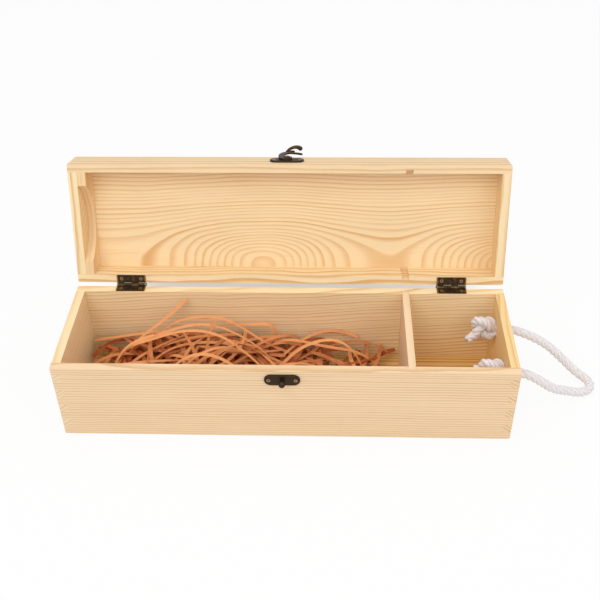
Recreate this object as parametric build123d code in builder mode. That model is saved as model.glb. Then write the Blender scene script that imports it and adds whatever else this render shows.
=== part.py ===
from build123d import *
import math
import os

os.makedirs("parts", exist_ok=True)

# A pine box for one bottle, with its hinged lid open. Millimetres, X along the box, +Y to the
# back, +Z up. The origin is the centre of the underside of the base.

# ---- case ---------------------------------------------------------------------------------
length = 350.0  # outside, along X
width = 100.0  # outside, along Y
base_height = 70.0  # outside height of the base
lid_height = 25.0  # outside height of the lid
wall = 7.0  # thickness of the wall boards
finger = 8.0  # height of one finger of the corner joints
edge_ease = 1.0  # rounding of the outer corners
bottom_thickness = 3.0  # panel let into the underside of the base
top_thickness = 4.0  # panel let into the top of the lid
rabbet = 3.5  # how far both panels reach into the walls

# ---- divider and neck rest ----------------------------------------------------------------
side_length = 69.85  # clear length of the compartment to the right of the divider
divider_thickness = 5.5
dado_depth = 3.0  # grooves that hold the divider
dado_play = 0.1  # play of the divider in its grooves, each side
rest_thickness = 7.0  # board that carries the neck of the bottle
rest_chord = 64.0  # width of its arc at the rim of the lid
rest_depth = 18.6  # depth of its arc below the rim

# ---- hinges -------------------------------------------------------------------------------
open_angle = 107.0  # how far the lid stands open
hinge_left_inset = 44.4  # from the left end of the box to the middle of its hinge
hinge_right_inset = 42.1  # from the right end of the box to the middle of its hinge
leaf_width = 24.0  # along X
leaf_depth = 8.1  # from the pin to the edge of the leaf
leaf_thickness = 0.65
leaf_air = 0.1  # air between the two leaves of a closed hinge
leaf_corner = 0.8
knuckles = 4  # knuckles of one hinge, shared by its leaves in turn
knuckle_air = 0.15  # play between two knuckles
barrel_radius = 1.4
barrel_air = 0.2  # from the barrel to the back of the box
pin_radius = 0.6
pin_play = 0.05  # running clearance around the pin
pin_head_radius = 1.15
pin_head = 0.5

# ---- nails --------------------------------------------------------------------------------
nail_radius = 0.65
nail_length = 9.0
nail_head_radius = 1.7
nail_head = 0.4  # height of the countersunk head
nail_play = 0.05  # between a nail and the metal or wood around it
leaf_nail_x = 8.0  # nails either side of the middle of a leaf
leaf_nail_y = 5.0  # nails in front of the hinge pin

# ---- hasp and catch -----------------------------------------------------------------------
plate_length = 27.0
plate_width = 10.0
plate_thickness = 1.5
plate_ease = 0.5
plate_nail_x = 10.2  # nails either side of the middle of a plate
plate_x = -1.2  # middle of both plates, nailed on by eye
hasp_z = 10.5  # hasp pivot above the rim of the lid
catch_drop = 8.0  # catch stud below the rim of the base

rivet_radius = 1.5
rivet_head_radius = 2.5
rivet_head = 0.9
rivet_depth = 4.0  # how deep rivet and stud sit in the wood
hub_radius = 4.2
hub_air = 0.1  # play of the hub between plate and rivet head
hub_thickness = 1.6
hook_rise = 0.4  # the hook's flat part above the hasp plate
hook_thickness = 1.3
slot_air = 0.3  # between the slot of the hook and the stem of the stud
slot_end_angle = 10.5  # where the slot ends, clockwise from the lid's top edge
slot_mouth_angle = 40.0  # where the finger inside the slot ends
finger_width = 2.0
arm_width = 2.6  # of the flat part outside the slot
horn_root = 1.05  # radius of the horn where it leaves the flat part
horn_tip = 1.85  # radius of the horn's round end
horn_air = 0.4  # between the horn and the ball of the stud
horn_rise = 3.1  # how far the horn arches above the flat part
horn_end_angle = 23.5

stem_radius = 1.4
ball_radius = 2.6
ball_out = 5.6  # middle of the ball in front of the base

# ---- rope handle --------------------------------------------------------------------------
rope_radius = 3.7
rope_hole_radius = 4.45
rope_y = 25.0  # holes either side of the middle
rope_z = 49.5  # height of the holes
rope_sag = 0.6  # how far the rope lies below the middle of its hole
soft_air = 0.3  # between soft pieces and the boards
knot_radius = 11.5
knot_depth = 14.0  # how far a knot stands out from the end board

# ---- packing ------------------------------------------------------------------------------
packing_end_gap = 24.35  # bare floor between the bed and the divider
packing_height = 22.0
packing_corner = 12.0
packing_crown = 31.4  # width of the bed's flat top

# ---- what follows from the sizes ----------------------------------------------------------
LONG, END = 0, 1  # the boards that own the even and the odd fingers

side_y = (width - wall) / 2
end_x = (length - wall) / 2
inner_length = length - 2 * wall
inner_width = width - 2 * wall
divider_x = inner_length / 2 - side_length - divider_thickness / 2
panel_length = inner_length + 2 * rabbet
panel_width = inner_width + 2 * rabbet
rest_radius = (rest_chord**2 / 4 + rest_depth**2) / (2 * rest_depth)

rim_gap = 2 * leaf_thickness + leaf_air
hinge_y = width / 2 + barrel_air + barrel_radius
hinge_z = base_height + rim_gap / 2
hinge_left_x = hinge_left_inset - length / 2
hinge_right_x = length / 2 - hinge_right_inset
knuckle_pitch = leaf_width / knuckles

# the lid's own plane: its origin lies in the rim, and +Z runs up through the closed lid
swing = Location((0, hinge_y, hinge_z)) * Location((0, 0, 0), (-open_angle, 0, 0))
closed_rim = Location((0, -hinge_y, base_height + rim_gap - hinge_z))
lid_plane = Plane(swing * closed_rim)

base_rim = Plane.XY.offset(base_height)
catch_plane = Plane(Location((plate_x, -width / 2, base_height - catch_drop), (90, 0, 0)))
hasp_plane = Plane(lid_plane.location * Location((plate_x, -width / 2, hasp_z), (90, 0, 0)))
hook_plane = hasp_plane.offset(plate_thickness + hook_rise)


def finger_bands(height, owner):
    """Heights (low, high) of the fingers that one pair of boards owns."""
    count = max(2, round(height / finger))
    edges = [finger * step for step in range(count)] + [height]
    return [(edges[step], edges[step + 1]) for step in range(owner, count, 2)]


def cut_fingers(plane, height, owner, spots):
    """Cut the notches that the other pair of boards fills out of the open part."""
    for low, high in finger_bands(height, owner):
        with BuildSketch(plane.offset(low)) as notch:
            with Locations(*spots):
                Rectangle(wall, wall)
        extrude(notch.sketch, amount=high - low, mode=Mode.SUBTRACT)


def cut_panel_seat(plane, thickness):
    """Cut the rabbet for the bottom or top panel out of the open part."""
    with BuildSketch(plane) as seat:
        Rectangle(panel_length, panel_width)
    extrude(seat.sketch, amount=thickness, mode=Mode.SUBTRACT)


def cut_dado(plane, height):
    """Cut the divider's groove, which runs through base and lid, out of the open part."""
    with BuildSketch(plane) as groove:
        with Locations((divider_x, 0)):
            Rectangle(divider_thickness + 2 * dado_play, inner_width + 2 * dado_depth)
    extrude(groove.sketch, amount=height, mode=Mode.SUBTRACT)


def drive_nails(plane, spots, play=0.0, mode=Mode.ADD):
    """Add countersunk nails, or cut room for them, with their heads flush in a plane."""
    with BuildSketch(plane) as heads:
        with Locations(*spots):
            Circle(nail_head_radius + play)
    slope = math.degrees(math.atan2(nail_head_radius - nail_radius, nail_head))
    extrude(heads.sketch, amount=-nail_head, taper=slope, mode=mode)
    with BuildSketch(plane) as shanks:
        with Locations(*spots):
            Circle(nail_radius + play)
    extrude(shanks.sketch, amount=-nail_length - play, mode=mode)


def bore(plane, radius, depth, spots=((0, 0),)):
    """Cut round holes down from a plane."""
    with BuildSketch(plane) as hole:
        with Locations(*spots):
            Circle(radius)
    extrude(hole.sketch, amount=-depth, mode=Mode.SUBTRACT)


def clock(radius, angle):
    """A point of the hook, by its distance from the rivet and its clockwise angle."""
    turn = math.radians(angle)
    return (radius * math.sin(turn), radius * math.cos(turn))


leaf_nails = [
    (hinge_x + step * leaf_nail_x, hinge_y - leaf_nail_y)
    for hinge_x in (hinge_left_x, hinge_right_x)
    for step in (-1, 1)
]
plate_nails = [(-plate_nail_x, 0), (plate_nail_x, 0)]
base_leaf_top = base_rim.offset(leaf_thickness)
lid_leaf_top = Plane(lid_plane.location * Location((0, 0, -leaf_thickness), (180, 0, 0)))
lid_leaf_nails = [(x, -y) for x, y in leaf_nails]

# ---- base ---------------------------------------------------------------------------------
# both envelopes carry the eased outer corners, and every board is trimmed to its own
with BuildPart() as base_envelope:
    with BuildSketch(Plane.XY):
        RectangleRounded(length, width, edge_ease)
    extrude(amount=base_height)
    fillet(base_envelope.faces().sort_by(Axis.Z)[0].edges(), radius=edge_ease * 0.6)

end_corners = [(-end_x, -side_y), (end_x, -side_y), (-end_x, side_y), (end_x, side_y)]

with BuildPart() as base_front_board:
    with BuildSketch(Plane.XY):
        with Locations((0, -side_y)):
            Rectangle(length, wall)
    extrude(amount=base_height)
    cut_fingers(Plane.XY, base_height, END, end_corners)
    cut_panel_seat(Plane.XY, bottom_thickness)
    cut_dado(Plane.XY, base_height)
    drive_nails(catch_plane.offset(plate_thickness), plate_nails, nail_play, Mode.SUBTRACT)
    bore(catch_plane, stem_radius + nail_play, rivet_depth + nail_play)
    add(base_envelope.part, mode=Mode.INTERSECT)
base_front_board.part.label = "base_front_board"
export_step(base_front_board.part, "parts/base_front_board.step")

with BuildPart() as base_back_board:
    with BuildSketch(Plane.XY):
        with Locations((0, side_y)):
            Rectangle(length, wall)
    extrude(amount=base_height)
    cut_fingers(Plane.XY, base_height, END, end_corners)
    cut_panel_seat(Plane.XY, bottom_thickness)
    cut_dado(Plane.XY, base_height)
    drive_nails(base_leaf_top, leaf_nails, nail_play, Mode.SUBTRACT)
    add(base_envelope.part, mode=Mode.INTERSECT)
base_back_board.part.label = "base_back_board"
export_step(base_back_board.part, "parts/base_back_board.step")

with BuildPart() as base_left_end:
    with BuildSketch(Plane.XY):
        with Locations((-end_x, 0)):
            Rectangle(wall, width)
    extrude(amount=base_height)
    cut_fingers(Plane.XY, base_height, LONG, end_corners)
    cut_panel_seat(Plane.XY, bottom_thickness)
    add(base_envelope.part, mode=Mode.INTERSECT)
base_left_end.part.label = "base_left_end"
export_step(base_left_end.part, "parts/base_left_end.step")

rope_plane = Plane(Location((length / 2, 0, rope_z), (0, 90, 0)))
rope_spots = [(0, -rope_y), (0, rope_y)]

with BuildPart() as base_right_end:
    with BuildSketch(Plane.XY):
        with Locations((end_x, 0)):
            Rectangle(wall, width)
    extrude(amount=base_height)
    cut_fingers(Plane.XY, base_height, LONG, end_corners)
    cut_panel_seat(Plane.XY, bottom_thickness)
    bore(rope_plane, rope_hole_radius, wall, rope_spots)
    add(base_envelope.part, mode=Mode.INTERSECT)
base_right_end.part.label = "base_right_end"
export_step(base_right_end.part, "parts/base_right_end.step")

with BuildPart() as base_bottom_panel:
    with BuildSketch(Plane.XY):
        Rectangle(panel_length, panel_width)
    extrude(amount=bottom_thickness)
base_bottom_panel.part.label = "base_bottom_panel"
export_step(base_bottom_panel.part, "parts/base_bottom_panel.step")

with BuildPart() as divider_board:
    with BuildSketch(Plane.XY.offset(bottom_thickness)):
        with Locations((divider_x, 0)):
            Rectangle(divider_thickness, inner_width + 2 * (dado_depth - dado_play))
    extrude(amount=base_height - bottom_thickness)
divider_board.part.label = "divider_board"
export_step(divider_board.part, "parts/divider_board.step")

# ---- lid, built on its own plane so that it stands open ------------------------------------
with BuildPart() as lid_envelope:
    with BuildSketch(lid_plane):
        RectangleRounded(length, width, edge_ease * 1.5)
    extrude(amount=lid_height)
    lid_top = lid_envelope.faces().sort_by(Axis(lid_plane.origin, lid_plane.z_dir))[-1]
    fillet(lid_top.edges(), radius=edge_ease)

with BuildPart() as lid_front_rail:
    with BuildSketch(lid_plane):
        with Locations((0, -side_y)):
            Rectangle(length, wall)
    extrude(amount=lid_height)
    cut_fingers(lid_plane, lid_height, END, end_corners)
    cut_panel_seat(lid_plane.offset(lid_height - top_thickness), top_thickness)
    cut_dado(lid_plane, lid_height)
    drive_nails(hasp_plane.offset(plate_thickness), plate_nails, nail_play, Mode.SUBTRACT)
    bore(hasp_plane, rivet_radius + nail_play, rivet_depth + nail_play)
    add(lid_envelope.part, mode=Mode.INTERSECT)
lid_front_rail.part.label = "lid_front_rail"
export_step(lid_front_rail.part, "parts/lid_front_rail.step")

with BuildPart() as lid_back_rail:
    with BuildSketch(lid_plane):
        with Locations((0, side_y)):
            Rectangle(length, wall)
    extrude(amount=lid_height)
    cut_fingers(lid_plane, lid_height, END, end_corners)
    cut_panel_seat(lid_plane.offset(lid_height - top_thickness), top_thickness)
    cut_dado(lid_plane, lid_height)
    drive_nails(lid_leaf_top, lid_leaf_nails, nail_play, Mode.SUBTRACT)
    add(lid_envelope.part, mode=Mode.INTERSECT)
lid_back_rail.part.label = "lid_back_rail"
export_step(lid_back_rail.part, "parts/lid_back_rail.step")

with BuildPart() as lid_left_end:
    with BuildSketch(lid_plane):
        with Locations((-end_x, 0)):
            Rectangle(wall, width)
    extrude(amount=lid_height)
    cut_fingers(lid_plane, lid_height, LONG, end_corners)
    cut_panel_seat(lid_plane.offset(lid_height - top_thickness), top_thickness)
    add(lid_envelope.part, mode=Mode.INTERSECT)
lid_left_end.part.label = "lid_left_end"
export_step(lid_left_end.part, "parts/lid_left_end.step")

with BuildPart() as lid_right_end:
    with BuildSketch(lid_plane):
        with Locations((end_x, 0)):
            Rectangle(wall, width)
    extrude(amount=lid_height)
    cut_fingers(lid_plane, lid_height, LONG, end_corners)
    cut_panel_seat(lid_plane.offset(lid_height - top_thickness), top_thickness)
    add(lid_envelope.part, mode=Mode.INTERSECT)
lid_right_end.part.label = "lid_right_end"
export_step(lid_right_end.part, "parts/lid_right_end.step")

with BuildPart() as lid_top_panel:
    with BuildSketch(lid_plane.offset(lid_height - top_thickness)):
        Rectangle(panel_length, panel_width)
    extrude(amount=top_thickness)
lid_top_panel.part.label = "lid_top_panel"
export_step(lid_top_panel.part, "parts/lid_top_panel.step")

# a board with an arc for the neck of the bottle, glued into the left end of the lid
rest_plane = Plane(lid_plane.location * Plane.YZ.offset(-inner_length / 2).location)

with BuildPart() as neck_rest:
    with BuildSketch(rest_plane):
        with Locations((0, (lid_height - top_thickness) / 2)):
            Rectangle(inner_width, lid_height - top_thickness)
        with Locations((0, rest_depth - rest_radius)):
            Circle(rest_radius, mode=Mode.SUBTRACT)
    extrude(amount=rest_thickness)
neck_rest.part.label = "neck_rest"
export_step(neck_rest.part, "parts/neck_rest.step")

# ---- hinges -------------------------------------------------------------------------------


def leaf_outline(bore_radius):
    """Sketch one leaf in section, with its barrel around the pin at the origin."""
    with BuildSketch() as section:
        Circle(barrel_radius)
        with BuildSketch(mode=Mode.PRIVATE) as flat:
            with Locations((-leaf_depth, -rim_gap / 2)):
                Rectangle(leaf_depth, leaf_thickness, align=(Align.MIN, Align.MIN))
        add(flat.sketch)
        Circle(bore_radius, mode=Mode.SUBTRACT)
    return section.sketch


def build_leaf(plane, owner):
    """Extrude a leaf along the pin and keep the barrel where its own knuckles are."""
    extrude(plane * leaf_outline(pin_radius + pin_play), amount=leaf_width / 2, both=True)
    for step in range(knuckles):
        if step % 2 == owner:
            continue
        middle = (step + 0.5) * knuckle_pitch - leaf_width / 2
        with BuildSketch(plane.offset(middle)) as gap:
            with Locations((-barrel_radius - barrel_air, 0)):
                Rectangle(leaf_depth, leaf_depth, align=(Align.MIN, Align.CENTER))
        half_gap = knuckle_pitch / 2 + knuckle_air / 2
        extrude(gap.sketch, amount=half_gap, both=True, mode=Mode.SUBTRACT)
    corners = edges().filter_by(
        lambda edge: abs(edge.length - leaf_thickness) < 1e-6
        and (plane.to_local_coords(edge.center())).X < 0.1 - leaf_depth
    )
    fillet(corners, radius=leaf_corner)


# section planes square to the pin: local x towards the back, local z along the box
pin_line = Location((0, hinge_y, hinge_z))
turned_over = Location((0, 0, 0), (180, 0, 0))

left_base_plane = Plane(pin_line * Plane.YZ.offset(hinge_left_x).location)
right_base_plane = Plane(pin_line * Plane.YZ.offset(hinge_right_x).location)
left_lid_plane = Plane(swing * Plane.YZ.offset(hinge_left_x).location * turned_over)
right_lid_plane = Plane(swing * Plane.YZ.offset(hinge_right_x).location * turned_over)

with BuildPart() as hinge_left_base_leaf:
    build_leaf(left_base_plane, 1)
    drive_nails(base_leaf_top, leaf_nails[:2], nail_play, Mode.SUBTRACT)
hinge_left_base_leaf.part.label = "hinge_left_base_leaf"
export_step(hinge_left_base_leaf.part, "parts/hinge_left_base_leaf.step")

with BuildPart() as hinge_right_base_leaf:
    build_leaf(right_base_plane, 1)
    drive_nails(base_leaf_top, leaf_nails[2:], nail_play, Mode.SUBTRACT)
hinge_right_base_leaf.part.label = "hinge_right_base_leaf"
export_step(hinge_right_base_leaf.part, "parts/hinge_right_base_leaf.step")

# a lid leaf is the same leaf turned over, so its knuckles fill the other gaps
with BuildPart() as hinge_left_lid_leaf:
    build_leaf(left_lid_plane, 1)
    drive_nails(lid_leaf_top, lid_leaf_nails[:2], nail_play, Mode.SUBTRACT)
hinge_left_lid_leaf.part.label = "hinge_left_lid_leaf"
export_step(hinge_left_lid_leaf.part, "parts/hinge_left_lid_leaf.step")

with BuildPart() as hinge_right_lid_leaf:
    build_leaf(right_lid_plane, 1)
    drive_nails(lid_leaf_top, lid_leaf_nails[2:], nail_play, Mode.SUBTRACT)
hinge_right_lid_leaf.part.label = "hinge_right_lid_leaf"
export_step(hinge_right_lid_leaf.part, "parts/hinge_right_lid_leaf.step")


def build_pin(plane, head_side):
    """Add a pin through the barrel, with its head on the side towards the box's middle."""
    half = leaf_width / 2
    with BuildSketch(plane.offset(-half)) as shank:
        Circle(pin_radius)
    extrude(shank.sketch, amount=leaf_width)
    low = half + pin_play if head_side > 0 else -half - pin_play - pin_head
    with BuildSketch(plane.offset(low)) as head:
        Circle(pin_head_radius)
    extrude(head.sketch, amount=pin_head)
    with BuildSketch(plane.offset(head_side * half)) as neck:
        Circle(pin_radius)
    extrude(neck.sketch, amount=head_side * pin_play)


with BuildPart() as hinge_left_pin:
    build_pin(left_base_plane, 1)
hinge_left_pin.part.label = "hinge_left_pin"
export_step(hinge_left_pin.part, "parts/hinge_left_pin.step")

with BuildPart() as hinge_right_pin:
    build_pin(right_base_plane, -1)
hinge_right_pin.part.label = "hinge_right_pin"
export_step(hinge_right_pin.part, "parts/hinge_right_pin.step")

with BuildPart() as hinge_base_nails:
    drive_nails(base_leaf_top, leaf_nails)
hinge_base_nails.part.label = "hinge_base_nails"
export_step(hinge_base_nails.part, "parts/hinge_base_nails.step")

with BuildPart() as hinge_lid_nails:
    drive_nails(lid_leaf_top, lid_leaf_nails)
hinge_lid_nails.part.label = "hinge_lid_nails"
export_step(hinge_lid_nails.part, "parts/hinge_lid_nails.step")

# ---- hasp on the lid ----------------------------------------------------------------------
with BuildPart() as hasp_plate:
    with BuildSketch(hasp_plane):
        SlotOverall(plate_length, plate_width)
    extrude(amount=plate_thickness)
    hasp_top = hasp_plate.faces().sort_by(Axis(hasp_plane.origin, hasp_plane.z_dir))[-1]
    fillet(hasp_top.edges(), radius=plate_ease)
    drive_nails(hasp_plane.offset(plate_thickness), plate_nails, nail_play, Mode.SUBTRACT)
    bore(hasp_plane.offset(plate_thickness), rivet_radius + nail_play, plate_thickness)
hasp_plate.part.label = "hasp_plate"
export_step(hasp_plate.part, "parts/hasp_plate.step")

with BuildPart() as hasp_plate_nails:
    drive_nails(hasp_plane.offset(plate_thickness), plate_nails)
hasp_plate_nails.part.label = "hasp_plate_nails"
export_step(hasp_plate_nails.part, "parts/hasp_plate_nails.step")

hub_base = plate_thickness + hub_air
rivet_seat = hub_base + hub_thickness + hub_air

with BuildPart() as hasp_rivet:
    with BuildSketch(hasp_plane.offset(-rivet_depth)):
        Circle(rivet_radius)
    extrude(amount=rivet_depth + rivet_seat)
    with BuildSketch(hasp_plane.offset(rivet_seat)):
        Circle(rivet_head_radius)
    extrude(amount=rivet_head)
    rivet_top = hasp_rivet.faces().sort_by(Axis(hasp_plane.origin, hasp_plane.z_dir))[-1]
    fillet(rivet_top.edges(), radius=rivet_head * 0.75)
hasp_rivet.part.label = "hasp_rivet"
export_step(hasp_rivet.part, "parts/hasp_rivet.step")

# the hook hangs from the rivet: a slot between an inner finger and an outer arm goes round
# the stem of the stud, whose distance from the rivet in the closed box sets the slot
reach = hasp_z + rim_gap + catch_drop
slot_half = stem_radius + slot_air
slot_inner = reach - slot_half
slot_outer = reach + slot_half
finger_inner = slot_inner - finger_width
arm_outer = slot_outer + arm_width
finger_middle = (slot_end_angle + slot_mouth_angle) / 2
tip_turn = math.degrees(finger_width / 2 / slot_inner)
nose_turn = math.degrees(arm_width / 2 / arm_outer)
end_turn = math.degrees(slot_half / reach)

with BuildPart() as hasp_hook:
    with BuildSketch(hook_plane):
        with BuildLine():
            # bulging back of the hook, from the hub round to the nose outside the slot
            Spline(
                clock(hub_radius, -165),
                clock(reach * 0.33, -80),
                clock(reach * 0.58, -36),
                clock(reach * 0.91, -11),
                clock(arm_outer * 0.965, 4),
                clock(arm_outer, slot_end_angle),
                tangents=[(-0.97, 0.26), (1, -0.24)],
            )
            ThreePointArc(
                clock(arm_outer, slot_end_angle),
                clock(slot_outer + arm_width / 2, slot_end_angle + nose_turn),
                clock(slot_outer, slot_end_angle),
            )
            ThreePointArc(
                clock(slot_outer, slot_end_angle),
                clock(reach, slot_end_angle - end_turn),
                clock(slot_inner, slot_end_angle),
            )
            ThreePointArc(
                clock(slot_inner, slot_end_angle),
                clock(slot_inner, finger_middle),
                clock(slot_inner, slot_mouth_angle),
            )
            ThreePointArc(
                clock(slot_inner, slot_mouth_angle),
                clock(slot_inner - finger_width / 2, slot_mouth_angle + tip_turn),
                clock(finger_inner, slot_mouth_angle),
            )
            ThreePointArc(
                clock(finger_inner, slot_mouth_angle),
                clock(finger_inner, finger_middle),
                clock(finger_inner, slot_end_angle),
            )
            Spline(
                clock(finger_inner, slot_end_angle),
                clock(reach * 0.66, -6),
                clock(reach * 0.4, -22),
                clock(hub_radius, -5),
                tangents=[(-1, 0.24), (1, -0.6)],
            )
            Line(clock(hub_radius, -5), clock(hub_radius, -165))
        make_face()
    extrude(amount=hook_thickness)
    with BuildSketch(hasp_plane.offset(hub_base)):
        Circle(hub_radius)
    extrude(amount=hub_thickness)
    bore(hasp_plane.offset(rivet_seat), rivet_radius + pin_play, rivet_seat)

    # the horn to open it by: it leaves the flat part, arches over and ends round
    horn_reach = reach + ball_radius + horn_air + horn_tip
    horn_stops = [
        (*clock(horn_reach * 0.84, -3), hook_thickness * 0.45),
        (*clock(horn_reach * 0.92, 1), hook_thickness + horn_rise * 0.2),
        (*clock(horn_reach * 0.975, 7), hook_thickness + horn_rise * 0.66),
        (*clock(horn_reach, horn_end_angle * 0.62), hook_thickness + horn_rise * 0.88),
        (*clock(horn_reach, horn_end_angle), hook_thickness + horn_rise * 0.6),
    ]
    with BuildLine(hook_plane) as horn_line:
        Spline(*horn_stops)
    for share in (0, 0.3, 0.65, 1):
        with BuildSketch(Plane(horn_line.wires()[0] ^ share)):
            Circle(horn_root + (horn_tip - horn_root) * share**2)
    loft()
    with Locations(horn_line.wires()[0] @ 1):
        Sphere(horn_tip)
hasp_hook.part.label = "hasp_hook"
export_step(hasp_hook.part, "parts/hasp_hook.step")

# ---- catch on the base --------------------------------------------------------------------
with BuildPart() as catch_plate:
    with BuildSketch(catch_plane):
        SlotOverall(plate_length, plate_width)
    extrude(amount=plate_thickness)
    catch_top = catch_plate.faces().sort_by(Axis.Y)[0]
    fillet(catch_top.edges(), radius=plate_ease)
    drive_nails(catch_plane.offset(plate_thickness), plate_nails, nail_play, Mode.SUBTRACT)
    bore(catch_plane.offset(plate_thickness), stem_radius + nail_play, plate_thickness)
catch_plate.part.label = "catch_plate"
export_step(catch_plate.part, "parts/catch_plate.step")

with BuildPart() as catch_plate_nails:
    drive_nails(catch_plane.offset(plate_thickness), plate_nails)
catch_plate_nails.part.label = "catch_plate_nails"
export_step(catch_plate_nails.part, "parts/catch_plate_nails.step")

with BuildPart() as catch_stud:
    with BuildSketch(catch_plane.offset(-rivet_depth)):
        Circle(stem_radius)
    extrude(amount=rivet_depth + ball_out)
    with Locations(catch_plane.offset(ball_out).location):
        Sphere(ball_radius)
catch_stud.part.label = "catch_stud"
export_step(catch_stud.part, "parts/catch_stud.step")

# ---- rope handle --------------------------------------------------------------------------
knot_face = length / 2 - wall - soft_air
rope_rest_z = rope_z - rope_sag
hole_start = (knot_face, rope_y, rope_rest_z)
hole_end = (knot_face, -rope_y, rope_rest_z)

# the limp rope leaves both holes level, sags to the ground and folds there; its points
# stand out from the end of the box
end_face = length / 2
rope_points = [
    hole_start,
    (end_face + 5.2, rope_y, rope_rest_z),
    (end_face + 19.0, 26.2, 42.4),
    (end_face + 35.0, 25.8, 33.6),
    (end_face + 50.5, 25.2, 21.8),
    (end_face + 63.0, 23.6, 10.4),
    (end_face + 72.6, 14.2, 4.6),
    (end_face + 72.2, 0.4, 4.2),
    (end_face + 61.8, -8.6, 6.8),
    (end_face + 49.0, -13.4, 14.2),
    (end_face + 34.4, -20.6, 26.4),
    (end_face + 20.4, -25.4, 40.9),
    (end_face + 6.2, -rope_y, rope_rest_z),
    hole_end,
]


def arc_radius(before, corner, after):
    """The largest arc that two runs of the rope allow at the corner between them."""
    arriving = Vector(*corner) - Vector(*before)
    leaving = Vector(*after) - Vector(*corner)
    half_turn = math.radians(arriving.get_angle(leaving)) / 2
    return 0.45 * min(arriving.length, leaving.length) / math.tan(half_turn)


rope_radii = [arc_radius(*rope_points[i : i + 3]) for i in range(len(rope_points) - 2)]
print("rope arc radii:", [round(radius, 1) for radius in rope_radii])

with BuildPart() as rope_handle:
    with BuildLine() as rope_path:
        FilletPolyline(*rope_points, radius=rope_radii)
    with BuildSketch(Plane(origin=hole_start, z_dir=(1, 0, 0))):
        Circle(rope_radius)
    sweep(path=rope_path.wires()[0])
print("rope length:", round(rope_path.wires()[0].length, 1))
rope_handle.part.label = "rope_handle"
export_step(rope_handle.part, "parts/rope_handle.step")


def build_knot(y, z, tail_way, tail_length):
    """Add a knot that bears on the end board, with its tail hanging inside the box."""
    flat = knot_radius * 0.75
    widest = knot_depth * 0.45
    half_plane = Plane(origin=(knot_face, y, z), x_dir=(-1, 0, 0), z_dir=(0, 1, 0))
    with BuildSketch(half_plane) as half:
        with BuildLine():
            ThreePointArc((0, flat), (widest * 0.35, knot_radius * 0.92), (widest, knot_radius))
            ThreePointArc(
                (widest, knot_radius),
                (widest + (knot_depth - widest) * 0.72, knot_radius * 0.68),
                (knot_depth, 0),
            )
            Polyline((knot_depth, 0), (0, 0), (0, flat))
        make_face()
    revolve(half.sketch, axis=Axis((knot_face, y, z), (-1, 0, 0)))
    tail_plane = Plane(origin=(knot_face - knot_depth * 0.5, y, z), z_dir=tail_way)
    with BuildSketch(tail_plane) as tail:
        Circle(rope_radius)
    extrude(tail.sketch, amount=tail_length)
    tail_end = faces().filter_by(GeomType.PLANE).sort_by(Axis(tail_plane.origin, tail_way))
    fillet(tail_end[-1].edges(), radius=rope_radius * 0.4)


with BuildPart() as rope_knot_back:
    build_knot(rope_y, rope_z + 1.5, (-1.0, -0.05, -0.72), knot_radius + 6.0)
rope_knot_back.part.label = "rope_knot_back"
export_step(rope_knot_back.part, "parts/rope_knot_back.step")

with BuildPart() as rope_knot_front:
    build_knot(-rope_y, rope_z + 3.5, (-1.0, 0.1, -0.05), knot_radius + 3.0)
rope_knot_front.part.label = "rope_knot_front"
export_step(rope_knot_front.part, "parts/rope_knot_front.step")

# ---- packing ------------------------------------------------------------------------------
# a loose bed of shredded paper, against the left end of the long compartment
packing_left = -inner_length / 2 + soft_air
packing_length = divider_x - divider_thickness / 2 - packing_end_gap - packing_left
packing_width = inner_width - 2 * soft_air
packing_draw = (packing_width - packing_crown) / 2  # how far the sides come in at the top

with BuildPart() as packing_strips:
    for level, drawn_in in ((0, 0), (0.55, 0.45 / 3), (0.9, 1.6 / 3), (1, 1)):
        with BuildSketch(Plane.XY.offset(bottom_thickness + packing_height * level)):
            with Locations((packing_left + packing_length / 2, 0)):
                RectangleRounded(
                    packing_length - 2 * packing_draw * drawn_in,
                    packing_width - 2 * packing_draw * drawn_in,
                    packing_corner,
                )
    loft()
packing_strips.part.label = "packing_strips"
export_step(packing_strips.part, "parts/packing_strips.step")
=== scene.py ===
"""An open pine box for one bottle: boards, bronze fittings, rope handle and paper packing."""

from __future__ import annotations

import logging
import math
import random
from dataclasses import dataclass, field
from enum import Enum

import bmesh
import bpy
from mathutils import Euler, Matrix, Vector

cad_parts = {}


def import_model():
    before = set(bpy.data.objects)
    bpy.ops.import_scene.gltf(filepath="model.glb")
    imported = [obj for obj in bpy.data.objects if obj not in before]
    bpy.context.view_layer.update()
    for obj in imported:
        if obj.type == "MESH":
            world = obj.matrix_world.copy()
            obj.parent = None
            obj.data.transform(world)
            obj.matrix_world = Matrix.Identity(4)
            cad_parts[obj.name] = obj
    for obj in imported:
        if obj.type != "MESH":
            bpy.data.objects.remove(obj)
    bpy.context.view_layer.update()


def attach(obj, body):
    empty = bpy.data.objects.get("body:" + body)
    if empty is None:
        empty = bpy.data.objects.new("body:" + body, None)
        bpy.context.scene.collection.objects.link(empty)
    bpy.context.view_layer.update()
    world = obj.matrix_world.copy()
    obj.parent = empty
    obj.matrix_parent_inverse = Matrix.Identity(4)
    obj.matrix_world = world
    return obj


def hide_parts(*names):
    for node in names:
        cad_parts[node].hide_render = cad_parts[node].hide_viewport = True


LOG = logging.getLogger("wine_box")
MM = 0.001
HINGE_LINE = Vector((0.0, 51.6, 70.7)) * MM  # middle of the hinge pins
OPEN_ANGLE = 107.0  # how far the lid stands open as packed, in degrees
HINGE_X = (-130.6, 132.9)  # middles of the two hinges, in millimetres
PLATE_X = -1.2  # middle of the hasp's and the catch's plate

Point = tuple[float, float, float]
Colour = tuple[float, float, float]
Place = tuple["Val", "Val", "Val"]


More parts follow.
